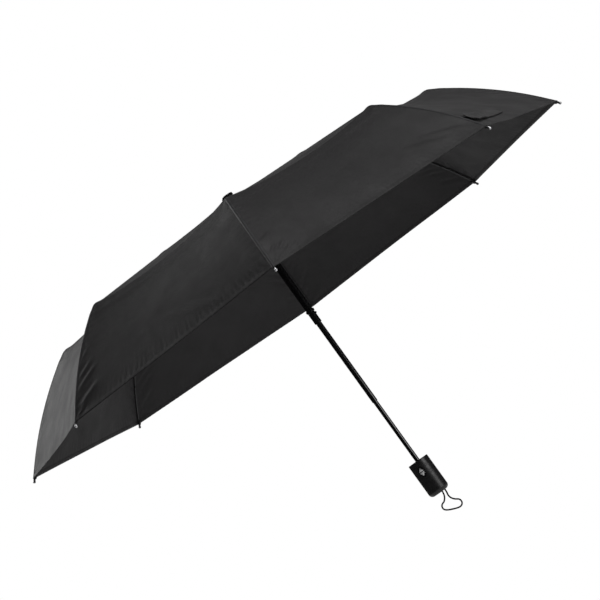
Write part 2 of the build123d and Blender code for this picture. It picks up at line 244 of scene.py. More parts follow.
WIRE = bright_metal("wire_drawn_dark", (0.16, 0.16, 0.165), 0.34, metal=1.0)
SILVER = bright_metal("silver_print", (0.85, 0.85, 0.85), 0.42, metal=0.0)

PLATED_FROM, PLATED_TO = 0.4826, 0.4828       # where black turns to plating, measured from the shaft


def tipped_rib():
    """Black resin rod whose outermost 2 mm is plated, told apart by the distance from the shaft."""
    m = material("rib_rod_with_tip", (0.011, 0.011, 0.012), 0.34, coat=0.2)
    n = Nodes(m)
    place = n.place()
    x, y = n.axis(place, 0), n.axis(place, 1)
    out = n.math("SQRT", n.math("ADD", n.math("MULTIPLY", x, x), n.math("MULTIPLY", y, y)))
    tip = n.range(out, PLATED_FROM, PLATED_TO, 0.0, 1.0)
    tone = n.ramp(n.noise(place, 60.0, 3.0), [(0.3, (0.010, 0.010, 0.011)), (0.8, (0.02, 0.02, 0.021))])
    mix = n.new("ShaderNodeMix", data_type="RGBA")
    n.link(tip, mix.inputs["Factor"])
    n.link(tone, mix.inputs["A"])
    mix.inputs["B"].default_value = (0.70, 0.70, 0.72, 1)
    n.feed(mix.outputs["Result"], "Base Color")
    n.feed(tip, "Metallic")
    n.feed(n.bump(n.noise(place, 700.0, 3.0), 0.1, 0.0001), "Normal")
    return m


TIPPED = tipped_rib()


def finish_node(name, m):
    """Give a CAD node its material."""
    for s in frame["nodes"][name].material_slots:
        s.link = "OBJECT"
        s.material = m


NODE_FINISH = {
    "top_cap": GLOSS, "crown": PLASTIC, "runner": PLASTIC, "top_tube": TUBE, "middle_tube": TUBE,
    "lower_tube": TUBE, "handle_shell": GRIP, "handle_end_cap": GRIP, "push_button": GLOSS,
}
for k in RIBS:
    NODE_FINISH.update({
        f"inner_rib_{k}": RIB, f"strut_{k}": RIB, f"inner_link_{k}": RIB, f"middle_rib_{k}": RIB,
        f"outer_link_{k}": WIRE, f"outer_rib_{k}": TIPPED,
    })
for name, m in NODE_FINISH.items():
    finish_node(name, m)


# ---- mesh helpers --------------------------------------------------------------------------------------
def mesh_object(name, verts, faces, m, uvs=None):
    """A smooth-shaded mesh with one material."""
    me = bpy.data.meshes.new(name)
    me.from_pydata([tuple(v) for v in verts], [], [tuple(f) for f in faces])
    me.validate()
    if uvs is not None:
        layer = me.uv_layers.new(name="cloth")
        index = np.zeros(len(me.loops), np.int32)
        me.loops.foreach_get("vertex_index", index)
        layer.data.foreach_set("uv", np.asarray(uvs, np.float32)[index].ravel())
    me.polygons.foreach_set("use_smooth", [True] * len(me.polygons))
    me.materials.append(m)
    o = bpy.data.objects.new(name, me)
    bpy.context.scene.collection.objects.link(o)
    return o


def grid_faces(rows, cols, flip=False):
    """Quads of a grid of rows x cols points, numbered row by row."""
    faces = []
    for i in range(rows - 1):
        for j in range(cols - 1):
            a = i * cols + j
            q = (a, a + 1, a + cols + 1, a + cols)
            faces.append(q[::-1] if flip else q)
    return faces


def ring_faces(rings, around):
    """Quads between closed rings of points, numbered ring by ring."""
    faces = []
    for i in range(rings - 1):
        for j in range(around):
            a, b = i * around + j, i * around + (j + 1) % around
            faces.append((a, b, b + around, a + around))
    return faces


def spin(points, angle):
    """Points of the rib plane at azimuth 0 turned about the shaft to a rib's azimuth."""
    c, s = math.cos(angle), math.sin(angle)
    p = np.asarray(points, float).reshape(-1, 3)
    return np.column_stack([p[:, 0] * c - p[:, 1] * s, p[:, 0] * s + p[:, 1] * c, p[:, 2]])


def unit(v):
    return v / np.linalg.norm(v)


def left_of(v):
    """A vector of the rib plane turned to the canopy's side of it."""
    return np.array([-v[1], v[0]])


# ---- canopy: the ridge over a rib ----------------------------------------------------------------------
def hinge_place(joint):
    """Radius and height of a hinge of rib 7, which lies along +X."""
    return np.array(HINGES[joint])[[0, 2]]


HINGE_A = hinge_place("inner_rib_7_hinge")
HINGE_B = hinge_place("middle_rib_7_hinge")
HINGE_E = hinge_place("outer_rib_7_hinge")
TIP_LOW, TIP_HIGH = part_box("outer_rib_7")
TIP_INSET = 0.0002
TIP = np.array([TIP_HIGH[0] - TIP_INSET, TIP_LOW[2] + TIP_INSET])
ALONG = unit(HINGE_E - HINGE_A)               # inner and middle rib
CHORD = unit(TIP - HINGE_E)                   # outer rib, end to end
HALF_GORE = math.radians(22.5)
C22, S22 = math.cos(HALF_GORE), math.sin(HALF_GORE)

RIDGE_STEP = 0.001                            # spacing of the points that make the ridge
RIDGE_START = -0.0035                         # it begins this far inside the hinge at the crown
FITTING_RISE, FITTING_L = math.radians(15.5), 0.019   # the outer rib's straight start, against its chord
BOW_HIGH, BOW_PAST_MID = 0.010, 0.004         # top of its bow, and how far past the chord's middle that is
BOW_END_BACK, BOW_END_HIGH = 0.006, 0.0006    # where the bow ends, back from the tip and over the chord
HEM_BACK = 0.0065                             # the cloth ends this far short of the tip


def circle_through(a, b, c):
    """Centre and radius of the circle through three points."""
    (x1, y1), (x2, y2), (x3, y3) = a, b, c
    m = np.array([[2 * (x2 - x1), 2 * (y2 - y1)], [2 * (x3 - x1), 2 * (y3 - y1)]])
    right = [x2 ** 2 - x1 ** 2 + y2 ** 2 - y1 ** 2, x3 ** 2 - x1 ** 2 + y3 ** 2 - y1 ** 2]
    centre = np.linalg.solve(m, right)
    return centre, math.hypot(x1 - centre[0], y1 - centre[1])


def bell(half, width):
    """Smoothing weights that add up to 1."""
    weights = np.exp(-0.5 * (np.arange(-half, half + 1) / width) ** 2)
    return weights / weights.sum()


def ridge_over_channels():
    """Points of the ridge over the inner and middle rib; the cloth lifts over each joint."""
    inner = np.linalg.norm(HINGE_B - HINGE_A)
    length = np.linalg.norm(HINGE_E - HINGE_A)
    at = [0.0, 0.018, inner - 0.012, inner, inner + 0.012, length - 0.012, length]
    lift = [0.0030, 0.0012, 0.0012, 0.0024, 0.0012, 0.0013, 0.0042]
    places = np.arange(RIDGE_START, length, RIDGE_STEP)
    return [HINGE_A + ALONG * s + left_of(ALONG) * np.interp(s, at, lift) for s in places]


def ridge_over_rod():
    """Points of the ridge over the outer rib: straight over its fitting, then a bow."""
    reach = np.linalg.norm(TIP - HINGE_E)
    start = (FITTING_L * math.cos(FITTING_RISE), FITTING_L * math.sin(FITTING_RISE))
    top = (reach / 2 + BOW_PAST_MID, BOW_HIGH)
    c, r = circle_through(start, top, (reach - BOW_END_BACK, BOW_END_HIGH))
    at = [0, 0.012, 0.03, reach - 0.02, reach - HEM_BACK]
    lift = [0.0042, 0.0027, 0.0021, 0.0020, 0.0024]
    points = []
    for x in np.arange(RIDGE_STEP, reach - HEM_BACK, RIDGE_STEP):
        slope = math.tan(FITTING_RISE)
        y = x * slope
        if x >= start[0]:
            y = c[1] + math.sqrt(r * r - (x - c[0]) ** 2)
            slope = -(x - c[0]) / (y - c[1])
        t = np.array([1, slope]) / math.hypot(1, slope)
        q = np.array([x, y]) + np.interp(x, at, lift) * left_of(t)
        points.append(HINGE_E + CHORD * q[0] + left_of(CHORD) * q[1])
    return points


def rib_profile():
    """Ridge of the skin in the rib plane, from the crown to the hem: arc position, and radius and height."""
    arc = np.array(ridge_over_channels() + ridge_over_rod())
    padded = np.vstack([2 * arc[0] - arc[15:0:-1], arc, 2 * arc[-1] - arc[-2:-17:-1]])
    arc = np.column_stack([np.convolve(padded[:, i], bell(15, 2.8), "valid") for i in (0, 1)])
    step = np.r_[0, np.cumsum(np.linalg.norm(np.diff(arc, axis=0), axis=1))]
    return step, arc


def ridge_slope():
    """How steeply the ridge falls, smoothed over the joints."""
    slope = np.arctan2(-np.gradient(RIDGE[:, 1]), np.gradient(RIDGE[:, 0]))
    return np.convolve(np.pad(slope, 45, mode="edge"), bell(45, 16.0), "valid")


ARC, RIDGE = rib_profile()
SLOPE = ridge_slope()


def ridge_r(s):
    return np.interp(s, ARC, RIDGE[:, 0])


def ridge_z(s):
    return np.interp(s, ARC, RIDGE[:, 1])


def ridge_point(s):
    return np.array([ridge_r(s), ridge_z(s)])


def on_rib(p, k):
    """A point or direction of the rib plane, as radius and height, at rib k."""
    return spin([p[0], 0, p[1]], azimuth(k))[0]


def arc_at(hinge, direction):
    """Arc position of the ridge where it passes over a hinge."""
    return float(np.interp(0, (RIDGE - hinge) @ direction, ARC))


S_B = arc_at(HINGE_B, ALONG)
S_E = arc_at(HINGE_E, ALONG * 0.6 + CHORD * 0.4)
S_TIP = float(ARC[-1])


# ---- canopy: folds -------------------------------------------------------------------------------------
# Diagonal tension folds beside a rib: gore, side of it, then two ends as distance from the ridge and arc
# position (mm), height and half width (mm). Side 1 is the gore's far rib.
SEEN_FOLDS = [
    (1, 1, 2, 442, 14, 413, 0.5, 3.6), (1, 1, 4, 465, 24, 441, 0.6, 4.0), (1, 1, 5, 482, 34, 455, 0.9, 4.6),
    (1, 1, 6, 509, 42, 487, 0.8, 5.0), (8, 1, 6, 476, 25, 462, 0.7, 5.0), (8, 1, 8, 503, 22, 490, 0.7, 3.4),
    (8, 1, 16, 508, 34, 491, 0.7, 3.6), (8, 1, 25, 516, 41, 504, 0.6, 3.6),
    (8, 1, 38, 516, 50, 506, 0.5, 3.6), (1, -1, 70, 519, 190, 455, 0.9, 9.0),
    (8, -1, 14, 505, 60, 470, 0.6, 6.0), (8, -1, 30, 512, 95, 468, 0.5, 7.0),
]
FOLD_SEED, SKIN_SEED = 700, 40
FULL_TURN = 6.28
UNEVEN_HIGH, PUCKER_HIGH, GATHER_HIGH = 0.00026, 0.00020, 0.00022     # of the small folds, in metres
PUCKER_PITCH, GATHER_PITCH = 0.0125, 0.017
PUCKER_REACH, GATHER_REACH = 0.010, 0.014
SEAM_HOLD = 0.006                             # the seam holds the cloth down within this distance
RAYS = ((S_TIP, 0.040, 9.0, 0.00045), (S_E, 0.035, 7.0, 0.00035))     # centre, reach, waves, height


def fold_list(gore):
    """The folds of one gore: those above, and some of the same kind beside a rib that has none."""
    own = [f[1:] for f in SEEN_FOLDS if f[0] == gore]
    rng = np.random.default_rng(FOLD_SEED + gore)
    for side in (-1, 1):
        if any(f[0] == side for f in own):
            continue
        for at in np.linspace(430, 505, 4) + rng.uniform(-7, 7, 4):
            reach = rng.uniform(12, 34)
            own.append((side, rng.uniform(3, 7), at, 5 + reach, at - reach * rng.uniform(0.7, 1.2),
                        rng.uniform(0.4, 0.9), rng.uniform(3.6, 5.0)))
    return own


def ridge_distance(u, r, side):
    """Distance along the chord from the ridge on one side of the gore."""
    return (1 - side * u) * r * S22


def unevenness(rng, u, s, r):
    """Slow unevenness of the tensioned cloth, none at the ridges."""
    h = np.zeros_like(s)
    for _ in range(5):
        a, b, c = rng.uniform(-1, 1), rng.uniform(7, 20), rng.uniform(0, FULL_TURN)
        h += UNEVEN_HIGH * np.sin(b * (s * 3 + a * u * r) + c) * (1 - u ** 2)
    return h


def puckers(s, d, free, phase):
    """Small puckers along a seam."""
    wave = np.sin(s * 2 * math.pi / PUCKER_PITCH + 2.2 * np.sin(s * 31 + phase))
    return PUCKER_HIGH * free * np.exp(-d / PUCKER_REACH) * wave


def rays(rng, s, d, free):
    """Short rays from the tip, and from where the rib folds."""
    h = np.zeros_like(s)
    for centre, size, waves, high in RAYS:
        back = centre - s
        far = np.hypot(back, d)
        turn = np.arctan2(d, back if centre == S_TIP else np.abs(back))
        phase = rng.uniform(0, FULL_TURN)
        ray = np.sin(waves * turn + phase + 0.6 * np.sin(far * 60 + phase))
        h += high * ray * np.exp(-far / size) * np.clip(far / 0.012, 0, 1) * free
    return h


def gathers(gore, u, s, r):
    """A row of small gathers behind the hem."""
    wave = np.sin(u * r * 2 * math.pi / GATHER_PITCH + gore)
    return GATHER_HIGH * np.exp(-(S_TIP - s) / GATHER_REACH) * wave * (1 - u ** 8)


def tension_fold(d, s, start, stop, high, wide):
    """One diagonal fold, all in mm: a crest with a hollow beside it."""
    run = np.subtract(stop, start)
    length = math.hypot(*run)
    t = ((d - start[0]) * run[0] + (s - start[1]) * run[1]) / length ** 2
    q = ((d - start[0]) * run[1] - (s - start[1]) * run[0]) / length
    body = np.exp(-((t - 0.5) / 0.42) ** 4) * np.clip(d / 5, 0, 1)
    crest = np.exp(-(q / wide) ** 2) - 0.55 * np.exp(-((q - 1.5 * wide) / wide) ** 2)
    return high * body * crest


def folds(gore, u, s):
    """Height of the cloth's folds, in metres. u is -1 to 1 across the gore, towards the next rib."""
    rng = np.random.default_rng(SKIN_SEED + gore)
    r = ridge_r(s)
    h = unevenness(rng, u, s, r)
    for side in (-1, 1):
        d = ridge_distance(u, r, side)
        free = np.clip(d / SEAM_HOLD, 0, 1)
        h += puckers(s, d, free, gore + side)
        h += rays(rng, s, d, free)
    h += gathers(gore, u, s, r)
    for side, d1, s1, d2, s2, high, wide in fold_list(gore):
        d = ridge_distance(u, r, side) / MM
        h += MM * tension_fold(d, s / MM, (d1, s1), (d2, s2), high, wide)
    return h


# ---- canopy: one function for the whole skin, cut into pieces at the rib joints ------------------------
SAG_AT = [0.0, 0.10, S_B, 0.26, S_E - 0.02, S_E + 0.03, 0.42, S_TIP]
SAG = [0.0, 0.0004, 0.0015, 0.0045, 0.0105, 0.0120, 0.0105, 0.0045]


def skin(gore, u, s):
    """Points of the skin. Gore g lies between rib g (u = -1) and rib g + 1 (u = 1)."""
    u, s = np.asarray(u, float), np.asarray(s, float)
    r = ridge_r(s)
    mid = azimuth(gore) - HALF_GORE                      # the next rib is clockwise
    out = np.array([math.cos(mid), math.sin(mid)])
    side = np.array([math.sin(mid), -math.cos(mid)])     # towards the next rib
    tilt = np.arctan(np.tan(np.interp(s, ARC, SLOPE)) / C22)
    h = folds(gore, u, s) - np.interp(s, SAG_AT, SAG) * (1 - u ** 2)
    x = r * C22 + h * np.sin(tilt)
    y = u * r * S22
    z = ridge_z(s) + h * np.cos(tilt)
    return np.column_stack([x * out[0] + y * side[0], x * out[1] + y * side[1], z])


def skin_normals(gore, u, s):
    """Unit normals of the skin, on its upper side."""
    e = 1e-4
    s = np.clip(s, e, S_TIP - e)
    du = skin(gore, np.clip(u + e, -1, 1), s) - skin(gore, np.clip(u - e, -1, 1), s)
    ds = skin(gore, u, s + e) - skin(gore, u, s - e)
    n = np.cross(du, ds)
    n /= np.linalg.norm(n, axis=1)[:, None]
    n *= np.sign(n[:, 2])[:, None]
    return n


HEM_PULL = 0.0040                             # how far the hem curves in between two ribs
CROWN_R = 0.0100                              # the ribs hinge here: inside it the cloth stays on the crown
CROWN_S = float(np.interp(CROWN_R, RIDGE[:, 0], ARC))
LEAN_B, LEAN_E = 0.010, 0.035                 # how far the two creases lean outward at mid gore

Zone = namedtuple("Zone", "name body start stop across down low high keep")
ZONES = (
    Zone("inner", "inner_rib", "crown", "b", 20, 36, CROWN_S, S_B, 0.075),
    Zone("middle", "middle_rib", "b", "e", 32, 84, S_B, S_E, 0.075),
    Zone("outer", "outer_rib", "e", "hem", 48, 70, S_E, S_TIP, 0.080),
)
INNER, OUTER = ZONES[0], ZONES[-1]


def border(which, u):
    """Arc position of a border between zones; a crease leans outward to the middle of the gore."""
    if which == "crown":
        return np.full_like(u, CROWN_S)
    if which == "hem":
        return S_TIP - HEM_PULL * (1 - u ** 2)
    at, lean = {"b": (S_B, LEAN_B), "e": (S_E, LEAN_E)}[which]
    return at + lean * (1 - np.abs(u))


def skin_grid(side, zone):
    """Columns run from the ridge to the middle of the gore, rows from one border to the next."""
    us = side * (1 - np.linspace(0, 1, zone.across))
    low, high = border(zone.start, us), border(zone.stop, us)
    f = np.linspace(0, 1, zone.down)[:, None]
    return np.tile(us, zone.down), (low + (high - low) * f).ravel()


def gore_beside(k, side):
    """The gore on one side of rib k. Side 1 is anticlockwise of it, seen from above."""
    return k if side < 0 else (k - 2) % 8 + 1


def gather(o):
    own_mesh(o)


def off_middle(u, s):
    """Distance from the gore's middle line, in metres."""
    return u * ridge_r(s) * S22


def cloth_piece(name, gore, u, s, cols, m, lift=0.0, flip=False, uvs=None):
    """A piece laid on the skin; lift is its height above it, one number or one for each point."""
    n = skin_normals(gore, u, s)
    p = skin(gore, u, s) + n * np.reshape(lift, (-1, 1))
    if uvs is None:
        uvs = np.column_stack([off_middle(u, s), s])
    return mesh_object(name, p, grid_faces(len(u) // cols, cols, flip=flip), m, uvs=uvs), n


HEM_WIDE = 0.0065
HEM_SECTION = (                               # distance past the edge and height over the skin
    (-HEM_WIDE, 0.00008), (-HEM_WIDE + 0.0004, 0.00018), (-0.0012, 0.00022), (0.0002, 0.0002), (0.0004, 0.0),
    (0.0002, -0.0002), (-0.0012, -0.0004), (-HEM_WIDE + 0.0004, -0.0003), (-HEM_WIDE, -0.0001),
)
HEM_COLUMNS = 49
HEM_OVERHANG = 0.0006


def hem_band(k, side, gore):
    """The hem, turned over once and stitched: a flat tube round the cloth's edge."""
    us = side * (1 - np.linspace(0, 1, HEM_COLUMNS))
    edge = border("hem", us)
    past = np.repeat([a for a, _ in HEM_SECTION], len(us))
    lift = np.repeat([b for _, b in HEM_SECTION], len(us))
    u = np.tile(us, len(HEM_SECTION))
    s = np.concatenate([edge + a for a, _ in HEM_SECTION])
    uvs = np.column_stack([off_middle(u, s), past])
    s = np.minimum(s, S_TIP + HEM_OVERHANG)
    name = f"hem_{k}_{'left' if side > 0 else 'right'}"
    return cloth_piece(name, gore, u, s, len(us), HEM, lift, side > 0, uvs)[0]


ROSETTE_PAST = 0.0028                         # how far it reaches over the gores' ends
ROSETTE_COLUMNS = 12                          # in each gore


def rosette():
    """The round patch sewn over the seams' meeting, under the cap: it stays put when the ribs fold."""
    outside = CROWN_S + ROSETTE_PAST
    reach = np.array([0.0003, outside / 3, outside * 2 / 3, outside - 0.0006, outside - 0.0001, outside])
    lift = np.array([0.0004, 0.0004, 0.0004, 0.0004, 0.0003, 0.0])
    us = np.linspace(-1, 1, ROSETTE_COLUMNS + 1)[:-1]
    rings = []
    for s, h in zip(reach, lift):
        at = np.full(len(us), s)
        rings.append(np.vstack([skin(g, us, at) + skin_normals(g, us, at) * h for g in RIBS]))
    points = np.vstack(rings)
    o = mesh_object("cloth_rosette", points, ring_faces(len(rings), len(rings[0])), CLOTH, uvs=points[:, :2])
    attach(o, "top_tube")
    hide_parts("canopy")


def half_gore(k, side):
    """The three sheets and the hem on one side of rib k."""
    gore = gore_beside(k, side)
    hand = "left" if side > 0 else "right"
    hem = hem_band(k, side, gore)
    for zone in ZONES:
        u, s = skin_grid(side, zone)
        o, n = cloth_piece(f"cloth_{zone.name}_{k}_{hand}", gore, u, s, zone.across, CLOTH, flip=side > 0)
        o.data.normals_split_custom_set_from_vertices([tuple(v) for v in n])
        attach(o, f"{zone.body}_{k}")
        gather(o)
        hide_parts("canopy")
    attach(hem, f"outer_rib_{k}")
    gather(hem)


rosette()
for k in RIBS:
    for side in (-1, 1):
        half_gore(k, side)


# ---- seams along the ribs, patches over the rib joints -------------------------------------------------
def ridge_strip(name, k, s_list, section, m):
    """A strip along a ridge. section is a list of distance to the left of the ridge and lift, in mm."""
    points, uvs = [], []
    r = ridge_r(s_list)
    for w, lift in section:
        w, lift = w * MM, lift * MM
        side = 1 if w >= 0 else -1
        gore = gore_beside(k, side)
        u = (1 - np.minimum(abs(w) / (r * S22), 0.95)) * side
        n = skin_normals(gore, u, s_list)
        if w == 0:
            n = (n + skin_normals(k, -np.ones_like(u), s_list)) / 2
            n /= np.linalg.norm(n, axis=1)[:, None]
        points.append(skin(gore, u, s_list) + n * lift)
        uvs.append(np.column_stack([np.full_like(s_list, w), s_list]))
    points = np.stack(points, 1).reshape(-1, 3)
    uvs = np.stack(uvs, 1).reshape(-1, 2)
    return mesh_object(name, points, grid_faces(len(s_list), len(section), flip=True), m, uvs=uvs)


# the raised seam outside, and the seam allowance lying to one side of it inside
WELT = (
    (2.5, 0.03), (2.3, 0.32), (1.3, 0.42), (0.5, 0.40), (0, 0.16), (-0.5, 0.40), (-1.3, 0.42), (-2.3, 0.32),
    (-2.5, 0.03),
)
FLAP = ((-0.9, -0.15), (-1.8, -0.45), (-3.2, -0.9), (-4.6, -1.5), (-4.7, -1.3), (-3.3, -0.6), (-1.8, -0.15))
SEAM_STEP = 0.0025
PATCH_UNDER, PATCH_HALF_L = 0.30, 0.016       # below the skin in mm, and half length in metres
# name, the bodies on either side of the joint, where, a half length in metres and half width in mm
JOINT_PATCHES = (
    ("b", "inner_rib", "middle_rib", S_B, 0.0045, 6.0),
    ("e", "middle_rib", "outer_rib", S_E, 0.0060, 11.0),
)


def zone_seams(k, zone):
    """The seam over one rib section, outside and inside."""
    first = zone.low + (0.0025 if zone is INNER else 0.0005)
    s_list = np.arange(first, zone.high - 0.0003, SEAM_STEP)
    seam = ridge_strip(f"seam_{zone.name}_{k}", k, np.r_[s_list, zone.high - 0.0004], WELT, SEAM)
    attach(seam, f"{zone.body}_{k}")
    inside = ridge_strip(f"seam_inside_{zone.name}_{k}", k, s_list[4:-3], FLAP, STRAP)
    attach(inside, f"{zone.body}_{k}")


def joint_patch(k, name, low, high, at, bend, half):
    """The cloth patch between the canopy and a rib joint."""
    section = [(w, -PATCH_UNDER) for w in np.linspace(half, -half, 23)]
    s_list = np.linspace(at - PATCH_HALF_L, at + PATCH_HALF_L, 65)
    patch = ridge_strip(f"joint_patch_{name}_{k}", k, s_list, section, STRAP)
    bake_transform(patch)


for k in RIBS:
    for zone in ZONES:
        zone_seams(k, zone)
    for row in JOINT_PATCHES:
        joint_patch(k, *row)


# ---- thread ties and tip pockets -----------------------------------------------------------------------
AROUND = 28                                   # points round a turned piece
TIE_AT = (0.062, 0.128)                       # along the outer rib, from its hinge
TIE_DROP = 0.00195                            # from the skin down to the rod's middle
TIE_HALF, TIE_R, TIE_TURNS, TIE_BUMP = 0.0013, 0.0014, 4, 0.00022
POCKET_BACK = 0.0115                          # from the tip
POCKET = ((-4.5, 1.0), (-4.4, 1.5), (-2, 1.8), (1.5, 1.9), (3.6, 1.7), (4.0, 1.4), (4.0, 1.0))     # mm


def lathe(name, profile, at, axis, m):
    """profile is a list of (distance along the axis, radius), turned about the axis through a point."""
    axis = Vector(axis).normalized()
    side = axis.orthogonal().normalized()
    other = axis.cross(side)
    turns = np.linspace(0, 2 * math.pi, AROUND, endpoint=False)
    verts = [Vector(at) + axis * a + (side * math.cos(t) + other * math.sin(t)) * r
             for a, r in profile for t in turns]
    return mesh_object(name, verts, ring_faces(len(profile), AROUND), m)


def thread_turns():
    """Section of a tie of wound thread: one bump a turn, closed down at its ends."""
    profile = []
    for x in np.linspace(-TIE_HALF, TIE_HALF, TIE_TURNS * 6 + 1):
        bump = abs(math.sin(math.pi * TIE_TURNS * (x + TIE_HALF) / (2 * TIE_HALF)))
        profile.append((x, TIE_R + TIE_BUMP * bump))
    profile[0] = (profile[0][0], TIE_R - 0.0006)
    profile[-1] = (profile[-1][0], TIE_R - 0.0006)
    return profile


def rib_tie(k, number, along):
    """A tie that holds the seam to the outer rib."""
    p, q = ridge_point(S_E + along), ridge_point(S_E + along + 0.001)
    t = unit(q - p)
    centre = p - TIE_DROP * left_of(t)
    tie = lathe(f"rib_tie_{number}_{k}", thread_turns(), on_rib(centre, k), on_rib(t, k), STRAP)
    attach(tie, f"outer_rib_{k}")


def tip_pocket(k):
    """The pocket that holds the cloth on the rib's end."""
    profile = [(a * MM, r * MM) for a, r in POCKET]
    centre = on_rib(TIP - CHORD * POCKET_BACK, k)
    pocket = lathe(f"tip_pocket_{k}", profile, centre, on_rib(CHORD, k), STRAP)
    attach(pocket, f"outer_rib_{k}")


for k in RIBS:
    for i, along in enumerate(TIE_AT):
        rib_tie(k, i + 1, along)
    tip_pocket(k)


# ---- printed arrows on the push button -----------------------------------------------------------------
BUTTON_LOW, BUTTON_HIGH = (Vector(v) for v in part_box("push_button"))
BUTTON_MID = (BUTTON_LOW.z + BUTTON_HIGH.z) / 2
BUTTON_ANGLE = math.radians(-106)
ARROW_CORNERS = (Vector((-3.9, 0.6)), Vector((3.9, 0.6)), Vector((0, 6.6)))     # mm, from the button's middle
ARROW_R, ARROW_RIM_IN = 17.62, 0.28           # mm from the shaft's axis; the rim goes down into the button
ARROW_WRAP_R = 17.6
ARROW_CELLS = 12


def arrow_point(i, j, turn):
    """A point of the triangle, wrapped round the shaft's axis."""
    q = (ARROW_CORNERS[0] * (1 - (i + j) / ARROW_CELLS) + ARROW_CORNERS[1] * (i / ARROW_CELLS)
         + ARROW_CORNERS[2] * (j / ARROW_CELLS))
    rim = min(i, j, ARROW_CELLS - i - j) == 0
    r = (ARROW_R - (ARROW_RIM_IN if rim else 0.0)) * MM
    a = q.x / ARROW_WRAP_R
    return r * math.cos(a), r * math.sin(a), turn * q.y * MM


def arrow(label, turn):
    """A small raised triangle on the button's face, above its middle (turn 1) or below (turn -1)."""
    bm = bmesh.new()
    n = ARROW_CELLS
    grid = {(i, j): bm.verts.new(arrow_point(i, j, turn)) for i in range(n + 1) for j in range(n + 1 - i)}
    for i in range(n):
        for j in range(n - i):
            bm.faces.new((grid[i, j], grid[i + 1, j], grid[i, j + 1]))
            if i + j < n - 1:
                bm.faces.new((grid[i + 1, j], grid[i + 1, j + 1], grid[i, j + 1]))
    bmesh.ops.rotate(bm, verts=bm.verts, cent=(0, 0, 0), matrix=Matrix.Rotation(BUTTON_ANGLE, 3, "Z"))
    bmesh.ops.translate(bm, verts=bm.verts, vec=(0, 0, BUTTON_MID))
    bmesh.ops.recalc_face_normals(bm, faces=bm.faces)
    o = mesh_object(f"arrow_{label}", [], [], SILVER)
    bm.to_mesh(o.data)
    bm.free()
    o.data.polygons.foreach_set("use_smooth", [True] * len(o.data.polygons))
    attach(o, "push_button")


arrow("up", 1)
arrow("down", -1)

# ---- tie strap -----------------------------------------------------------------------------------------
STRAP_RIB = 8
STRAP_SIDE = 1
STRAP_THICK = 0.0010
STRAP_EDGE_S, STRAP_EDGE_RUN = 0.4975, 0.0125     # arc position of its lower edge, and how far that drifts
STRAP_WIDE, STRAP_WIDER = 0.022, 0.006            # width at the sewn end, and how much wider the loose end is
STRAP_FAR, STRAP_L = 0.168, 0.162                 # its sewn end's distance from the rib, and its length
STRAP_UV_L, STRAP_UV_W = 0.145, 0.025             # the size its weave is laid out for
STRAP_ROUND = 0.075                               # share of its length that is rounded off
STRAP_COLUMNS, STRAP_ROWS = 21, 73
ARCH_HIGH, ARCH_AT, ARCH_REACH = 0.0052, 0.70, 0.13
LOOSE_FROM, LOOSE_RUN = 0.62, 0.22
LOOSE_HIGH, LOOSE_CURL = 0.0014, 0.0008


def strap_point(a, w, lift):
    """a runs 0 to 1 from the sewn end to the loose end, w from 0 at the lower edge to 1."""
    a, w = np.asarray(a, float), np.asarray(w, float)
    gore = gore_beside(STRAP_RIB, STRAP_SIDE)
    s = STRAP_EDGE_S + STRAP_EDGE_RUN * a - (STRAP_WIDE + STRAP_WIDER * a) * w
    u = 1 - (STRAP_FAR - STRAP_L * a) / (ridge_r(s) * S22)
    return skin(gore, u, s) + skin_normals(gore, u, s) * np.reshape(lift, (-1, 1))


def strap_lift(a, w):
    """Height of the strap's underside: it arches past its fastener and its loose end stands off."""
    a, w = np.asarray(a, float), np.asarray(w, float)
    loose = np.clip((a - LOOSE_FROM) / LOOSE_RUN, 0, 1)
    arch = ARCH_HIGH * np.exp(-((a - ARCH_AT) / ARCH_REACH) ** 2)
    arch *= 0.15 + 0.85 * np.sin(math.pi * np.clip(w, 0, 1))
    return 0.0005 + arch + (LOOSE_HIGH + LOOSE_CURL * (1 - w)) * loose


def rim_of_grid(rows, cols):
    """The points round a grid's edge, in order."""
    last = (rows - 1) * cols
    return (list(range(cols)) + [i * cols + cols - 1 for i in range(1, rows)]
            + [last + i for i in range(cols - 2, -1, -1)] + [i * cols for i in range(rows - 2, 0, -1)])


def strap():
    """Doubled cloth, sewn down at one end, whose loose end stands off the canopy."""
    rows, cols = STRAP_ROWS, STRAP_COLUMNS
    a, w = np.meshgrid(np.linspace(0, 1, rows), np.linspace(0, 1, cols), indexing="ij")
    a, w = a.ravel(), w.ravel()
    round_end = np.clip(a - (1 - STRAP_ROUND), 0, STRAP_ROUND) / STRAP_ROUND
    narrowed = 0.5 + (w - 0.5) * (0.45 + 0.55 * np.sqrt(1 - round_end ** 2))
    base = strap_lift(a, narrowed)
    stitched_rim = 0.0006 * np.exp(-(np.minimum(w, 1 - w) / 0.10) ** 2)
    top = strap_point(a, narrowed, base + STRAP_THICK + stitched_rim)
    under = strap_point(a, narrowed, base)
    n = len(a)
    faces = grid_faces(rows, cols) + [tuple(i + n for i in f[::-1]) for f in grid_faces(rows, cols)]
    ring = rim_of_grid(rows, cols)
    faces += [(ring[i], ring[i - 1], ring[i - 1] + n, ring[i] + n) for i in range(len(ring))]
    uvs = np.column_stack([a * STRAP_UV_L, w * STRAP_UV_W])
    o = mesh_object("tie_strap_cloth", np.vstack([top, under]), faces, STRAP, uvs=np.vstack([uvs, uvs]))
    bm = bmesh.new()
    bm.from_mesh(o.data)
    bmesh.ops.recalc_face_normals(bm, faces=bm.faces)
    bm.to_mesh(o.data)
    bm.free()
    return o


FASTENER_AT, FASTENER_R = (0.62, 0.5), 0.0088
FASTENER_UV_L, FASTENER_UV_W = 0.145, 0.0245      # the strap's size that its round outline is measured in
FASTENER_AROUND, FASTENER_RINGS = 40, 7


